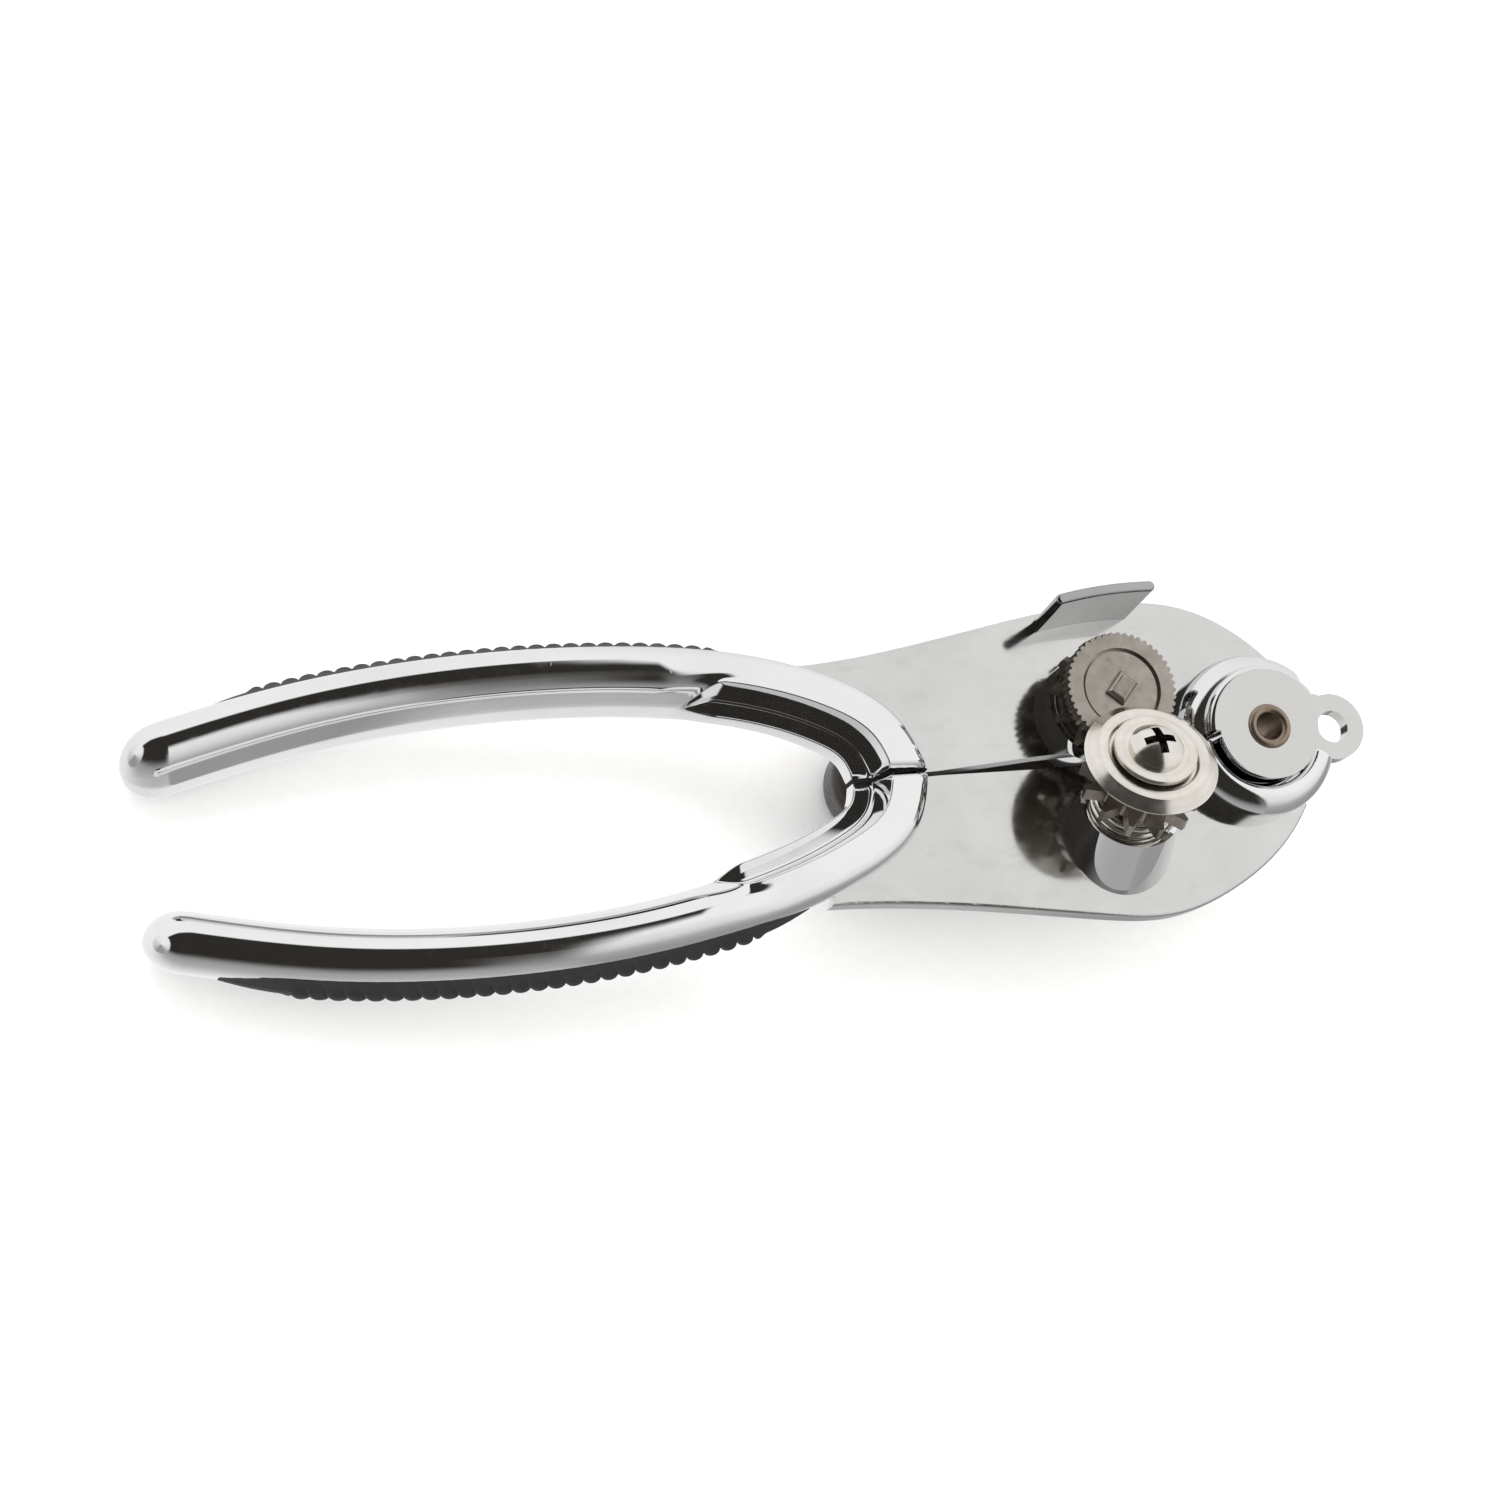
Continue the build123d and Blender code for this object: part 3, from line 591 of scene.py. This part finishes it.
def build_handle(name, line, side, body, node):
    """The bar of one handle, rounded at its tip and flat where it meets the other."""
    xy, along, length = smooth_line(line, HANDLE_RINGS)
    step = length / (HANDLE_RINGS - 1)
    middle_w = (HANDLE_TOP + HANDLE_BOTTOM) / 2
    # distance from the tip and size of each section
    stations = []
    for angle in TIP_RING_ANGLES:
        grown = math.radians(angle)
        stations.append(((1 - math.cos(grown)) * TIP_ROUNDING, math.sin(grown)))
    for i in range(HANDLE_RINGS):
        if i * step > TIP_ROUNDING:
            stations.append((i * step, 1.0))
    rings = []
    for reach, scale in stations:
        index = reach / step
        low = min(int(index), HANDLE_RINGS - 2)
        part = index - low
        place = xy[low] * (1 - part) + xy[low + 1] * part
        direction = along[low] * (1 - part) + along[low + 1] * part
        outward = np.array((-direction[1], direction[0])) * side
        half = from_table(HANDLE_STATIONS, reach / length) / 2
        hollow = ease(place[0], *HOLLOW_X)
        front = ease(place[0], *FRONT_X)
        ring = []
        for point in handle_section(half, hollow, front):
            u = point.x * scale
            w = middle_w + (point.y - middle_w) * scale
            x, y = place + outward * u
            room = side * y - CROTCH_Y
            if room < CROTCH_ROUNDING:
                grown = 1 - max(room, 0.0) / CROTCH_ROUNDING
                w = middle_w + (w - middle_w) * (1 - CROTCH_DROP * grown**2.5)
                y = side * (CROTCH_Y + max(room, 0.0))
            ring.append((x, y, w))
        rings.append(ring)
    piece = skin(name, rings, 50)
    piece.data.materials.append(FINISHES["chrome"])
    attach(piece, body)
    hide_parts(node)


# ---------------------------------------------------------------------- grips
def rib_height(x, turn):
    """Overlapping rounded lobes that lean along the grip."""
    phase = (x - RIB_START_X) / RIB_PITCH + RIB_SLANT * turn
    part = phase - math.floor(phase)
    lobe = math.sqrt(max(0.0, 1 - (2 * part - 1) ** 2))
    start = ease(x, RIB_START_X - 1.0, RIB_START_X + 1.5)
    end = ease(x, RIB_END_X - 2.0, RIB_END_X)
    return (lobe - RIB_VALLEY) * start * (1 - end)


def build_grip(name, line, side, body, node):
    """The ribbed rubber pad that wraps the outer side of one handle."""
    xy, along, _ = smooth_line(line, LINE_STEPS + 1)
    first, last = GRIP_START * LINE_STEPS, GRIP_END * LINE_STEPS
    middle = (GRIP_FRONT + GRIP_BACK) / 2
    rings = []
    for step in range(GRIP_RINGS):
        share = step / (GRIP_RINGS - 1)
        index = first + share * (last - first)
        low = min(int(index), LINE_STEPS - 1)
        part = index - low
        place = xy[low] * (1 - part) + xy[low + 1] * part
        direction = along[low]
        outward = np.array((-direction[1], direction[0])) * side
        half = from_table(HANDLE_STATIONS, index / LINE_STEPS) / 2
        size = min(1.0, 0.04 + 8.0 * share, 0.06 + 9.0 * (1 - share))
        size = math.sin(size * math.pi / 2)
        depth = (GRIP_FRONT - GRIP_BACK) * (GRIP_END_DEPTH + (1 - GRIP_END_DEPTH) * size)
        ring = []
        for k in range(GRIP_OUTER_POINTS + 1):
            turn = -1 + 2 * k / GRIP_OUTER_POINTS
            w = middle + turn * depth / 2
            bulge = from_table(GRIP_BULGE, turn)
            rib = rib_height(place[0], turn * RIB_WRAP) * RIB_HEIGHT * min(1.0, 1.6 * bulge)
            reach = half * from_table(HANDLE_OUTER, w) + (GRIP_PROUD * size + rib) * bulge
            ring.append((*(place + outward * (reach + GRIP_LIFT)), w))
        for k in range(GRIP_INNER_POINTS):
            turn = 1 - 2 * (k + 1) / (GRIP_INNER_POINTS + 1)
            w = middle + turn * depth / 2
            reach = half * from_table(HANDLE_OUTER, w) - GRIP_SUNK
            ring.append((*(place + outward * reach), w))
        rings.append(ring)
    piece = skin(name, rings, 75)
    piece.data.materials.append(FINISHES["grip_rubber"])
    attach(piece, body)
    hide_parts(node)


# ------------------------------------------------------- camera, floor, light
CAMERA_RIGHT = Vector((0.946, -0.171, 0.275)).normalized()
CAMERA_BACK = Vector((-0.31, -0.231, 0.922)).normalized()
CAMERA_PLACE = Vector((-226.3, -103.9, 439.9)) * MM
CAMERA_LENS = 79.2
FLOOR_GAP = 0.4
FLOOR_HALF = 3.0
FLOOR_CELLS = 24
# how far in from the ends of the handle and the key the floor touches them
TIP_CONTACT = 4.0
KEY_CONTACT = 3.0
# brightness of the mirrored room by direction: 0 overhead, 90 towards -Y, in degrees
NARROW_CARD = [
    (-180, 0.95),
    (-42, 1.0),
    (-37, 0.03),
    (24, 0.03),
    (34, 0.09),
    (62, 0.24),
    (90, 0.38),
    (120, 0.50),
    (150, 0.75),
    (180, 0.95),
]
WIDE_CARD = [
    (-180, 0.95),
    (-42, 1.0),
    (-37, 0.03),
    (56, 0.03),
    (64, 0.09),
    (78, 0.28),
    (90, 0.38),
    (120, 0.50),
    (150, 0.75),
    (180, 0.95),
]
OPEN_SIDE = [
    (-180, 0.6),
    (-120, 0.9),
    (-60, 1.0),
    (10, 1.0),
    (50, 0.8),
    (80, 0.45),
    (110, 0.35),
    (160, 0.35),
    (180, 0.6),
]
# X parts of the ray's direction between which the dark card starts, ends and widens:
# rays that lean further to +X or -X see the open side instead
CARD_START_X = (-0.90, -0.84)
CARD_END_X = (0.32, 0.25)
CARD_WIDENS_X = (0.25, 0.15)
CARD_WARMTH = 0.18
ROOM_STRENGTH = 1.35


def make_camera():
    up = CAMERA_BACK.cross(CAMERA_RIGHT).normalized()
    right = up.cross(CAMERA_BACK)
    data = bpy.data.cameras.new("camera")
    data.lens = CAMERA_LENS
    data.sensor_width = 36.0
    data.clip_start = 0.01
    data.clip_end = 20.0
    camera = bpy.data.objects.new("camera", data)
    turn = Matrix((right, up, CAMERA_BACK)).transposed()
    camera.matrix_world = Matrix.Translation(CAMERA_PLACE) @ turn.to_4x4()
    bpy.context.scene.collection.objects.link(camera)
    bpy.context.scene.camera = camera


def floor_frame():
    """The plane that the handle tips and the end of the key rest on."""
    tip_low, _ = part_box("upper_handle")
    key_low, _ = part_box("turning_key")
    tip = Vector((tip_low.x + TIP_CONTACT * MM, 0, tip_low.z))
    key = Vector((key_low.x + KEY_CONTACT * MM, 0, key_low.z))
    along = (key - tip).normalized()
    normal = Vector((-along.z, 0, along.x))
    return tip - normal * FLOOR_GAP * MM, along, normal


def make_floor():
    place, along, normal = floor_frame()
    across = normal.cross(along)
    bm = bmesh.new()
    rows = []
    for i in range(FLOOR_CELLS + 1):
        row = []
        for j in range(FLOOR_CELLS + 1):
            u = (i / FLOOR_CELLS * 2 - 1) * FLOOR_HALF
            v = (j / FLOOR_CELLS * 2 - 1) * FLOOR_HALF
            row.append(bm.verts.new(place + along * u + across * v))
        rows.append(row)
    for one, two in zip(rows, rows[1:]):
        for j in range(FLOOR_CELLS):
            bm.faces.new((one[j], two[j], two[j + 1], one[j + 1]))
    mesh = bpy.data.meshes.new("floor")
    bm.to_mesh(mesh)
    bm.free()
    floor = bpy.data.objects.new("floor", mesh)
    floor.data.materials.append(paper_floor())
    bpy.context.scene.collection.objects.link(floor)
    floor.visible_glossy = False


def softbox(name, place, target, size, power):
    data = bpy.data.lights.new(name, "AREA")
    data.shape = "RECTANGLE"
    data.size, data.size_y = size
    data.energy = power
    lamp = bpy.data.objects.new(name, data)
    lamp.location = place
    lamp.visible_glossy = False
    back = Vector(place) - Vector(target)
    lamp.rotation_mode = "QUATERNION"
    lamp.rotation_quaternion = back.to_track_quat("Z", "Y")
    bpy.context.scene.collection.objects.link(lamp)


def make_world():
    """An even white room, which mirrored rays see with one dark card overhead."""
    world = bpy.data.worlds.new("studio")
    bpy.context.scene.world = world
    world.use_nodes = True
    tree = world.node_tree
    tree.nodes.clear()

    def new(kind, **values):
        node = tree.nodes.new(kind)
        for key, value in values.items():
            setattr(node, key, value)
        return node

    def calc(kind, first, second):
        node = new("ShaderNodeMath", operation=kind)
        for index, value in enumerate((first, second)):
            if isinstance(value, (int, float)):
                node.inputs[index].default_value = value
            else:
                tree.links.new(value, node.inputs[index])
        return node.outputs[0]

    def step(value, low, high):
        node = new("ShaderNodeMapRange", interpolation_type="SMOOTHSTEP")
        node.inputs["From Min"].default_value = low
        node.inputs["From Max"].default_value = high
        tree.links.new(value, node.inputs["Value"])
        return node.outputs[0]

    def levels(value, stops):
        node = new("ShaderNodeValToRGB")
        points = node.color_ramp.elements
        while len(points) < len(stops):
            points.new(0.5)
        for point, (degrees, level) in zip(points, stops):
            point.position = (degrees + 180) / 360
            warmth = CARD_WARMTH * (1 - ease(level, 0.03, 0.25))
            point.color = (level, level * (1 - 0.4 * warmth), level * (1 - warmth), 1)
        tree.links.new(value, node.inputs[0])
        return node.outputs[0]

    def blend(share, first, second):
        node = new("ShaderNodeMix", data_type="RGBA")
        tree.links.new(share, node.inputs[0])
        tree.links.new(first, node.inputs[6])
        tree.links.new(second, node.inputs[7])
        return node.outputs[2]

    place = new("ShaderNodeTexCoord")
    split = new("ShaderNodeSeparateXYZ")
    tree.links.new(place.outputs["Generated"], split.inputs[0])
    x, y, z = split.outputs
    turn = calc("ARCTAN2", calc("MULTIPLY", y, -1.0), z)
    turn = calc("ADD", calc("DIVIDE", turn, 2 * math.pi), 0.5)
    widened = step(x, *CARD_WIDENS_X)
    with_card = blend(widened, levels(turn, NARROW_CARD), levels(turn, WIDE_CARD))
    open_side = levels(turn, OPEN_SIDE)
    card = calc("MULTIPLY", step(x, *CARD_START_X), step(x, *CARD_END_X))
    seen = blend(card, open_side, with_card)
    path = new("ShaderNodeLightPath")
    room = new("ShaderNodeBackground")
    room.inputs["Color"].default_value = (1.0, 0.995, 0.985, 1)
    room.inputs["Strength"].default_value = ROOM_STRENGTH
    mirrored = new("ShaderNodeBackground")
    tree.links.new(seen, mirrored.inputs["Color"])
    chosen = new("ShaderNodeMixShader")
    tree.links.new(path.outputs["Is Glossy Ray"], chosen.inputs[0])
    tree.links.new(room.outputs[0], chosen.inputs[1])
    tree.links.new(mirrored.outputs[0], chosen.inputs[2])
    out = new("ShaderNodeOutputWorld")
    tree.links.new(chosen.outputs[0], out.inputs[0])


# ---------------------------------------------------------------- put together
finish_nodes()
build_handle("upper_handle_body", UPPER_LINE, 1, "upper_lever", "upper_handle")
build_handle("lower_handle_body", LOWER_LINE, -1, "lower_lever", "lower_handle")
build_grip("upper_grip_pad", UPPER_LINE, 1, "upper_lever", "upper_grip")
build_grip("lower_grip_pad", LOWER_LINE, -1, "lower_lever", "lower_grip")
make_camera()
make_floor()
make_world()
softbox("key_light", (-0.10, 0.75, 1.05), (-0.07, 0, 0), (0.9, 0.7), 7.0)
softbox("fill_light", (-0.9, -0.35, 0.7), (-0.07, 0, 0), (0.6, 0.6), 2.0)
bpy.context.scene.view_settings.view_transform = "Standard"
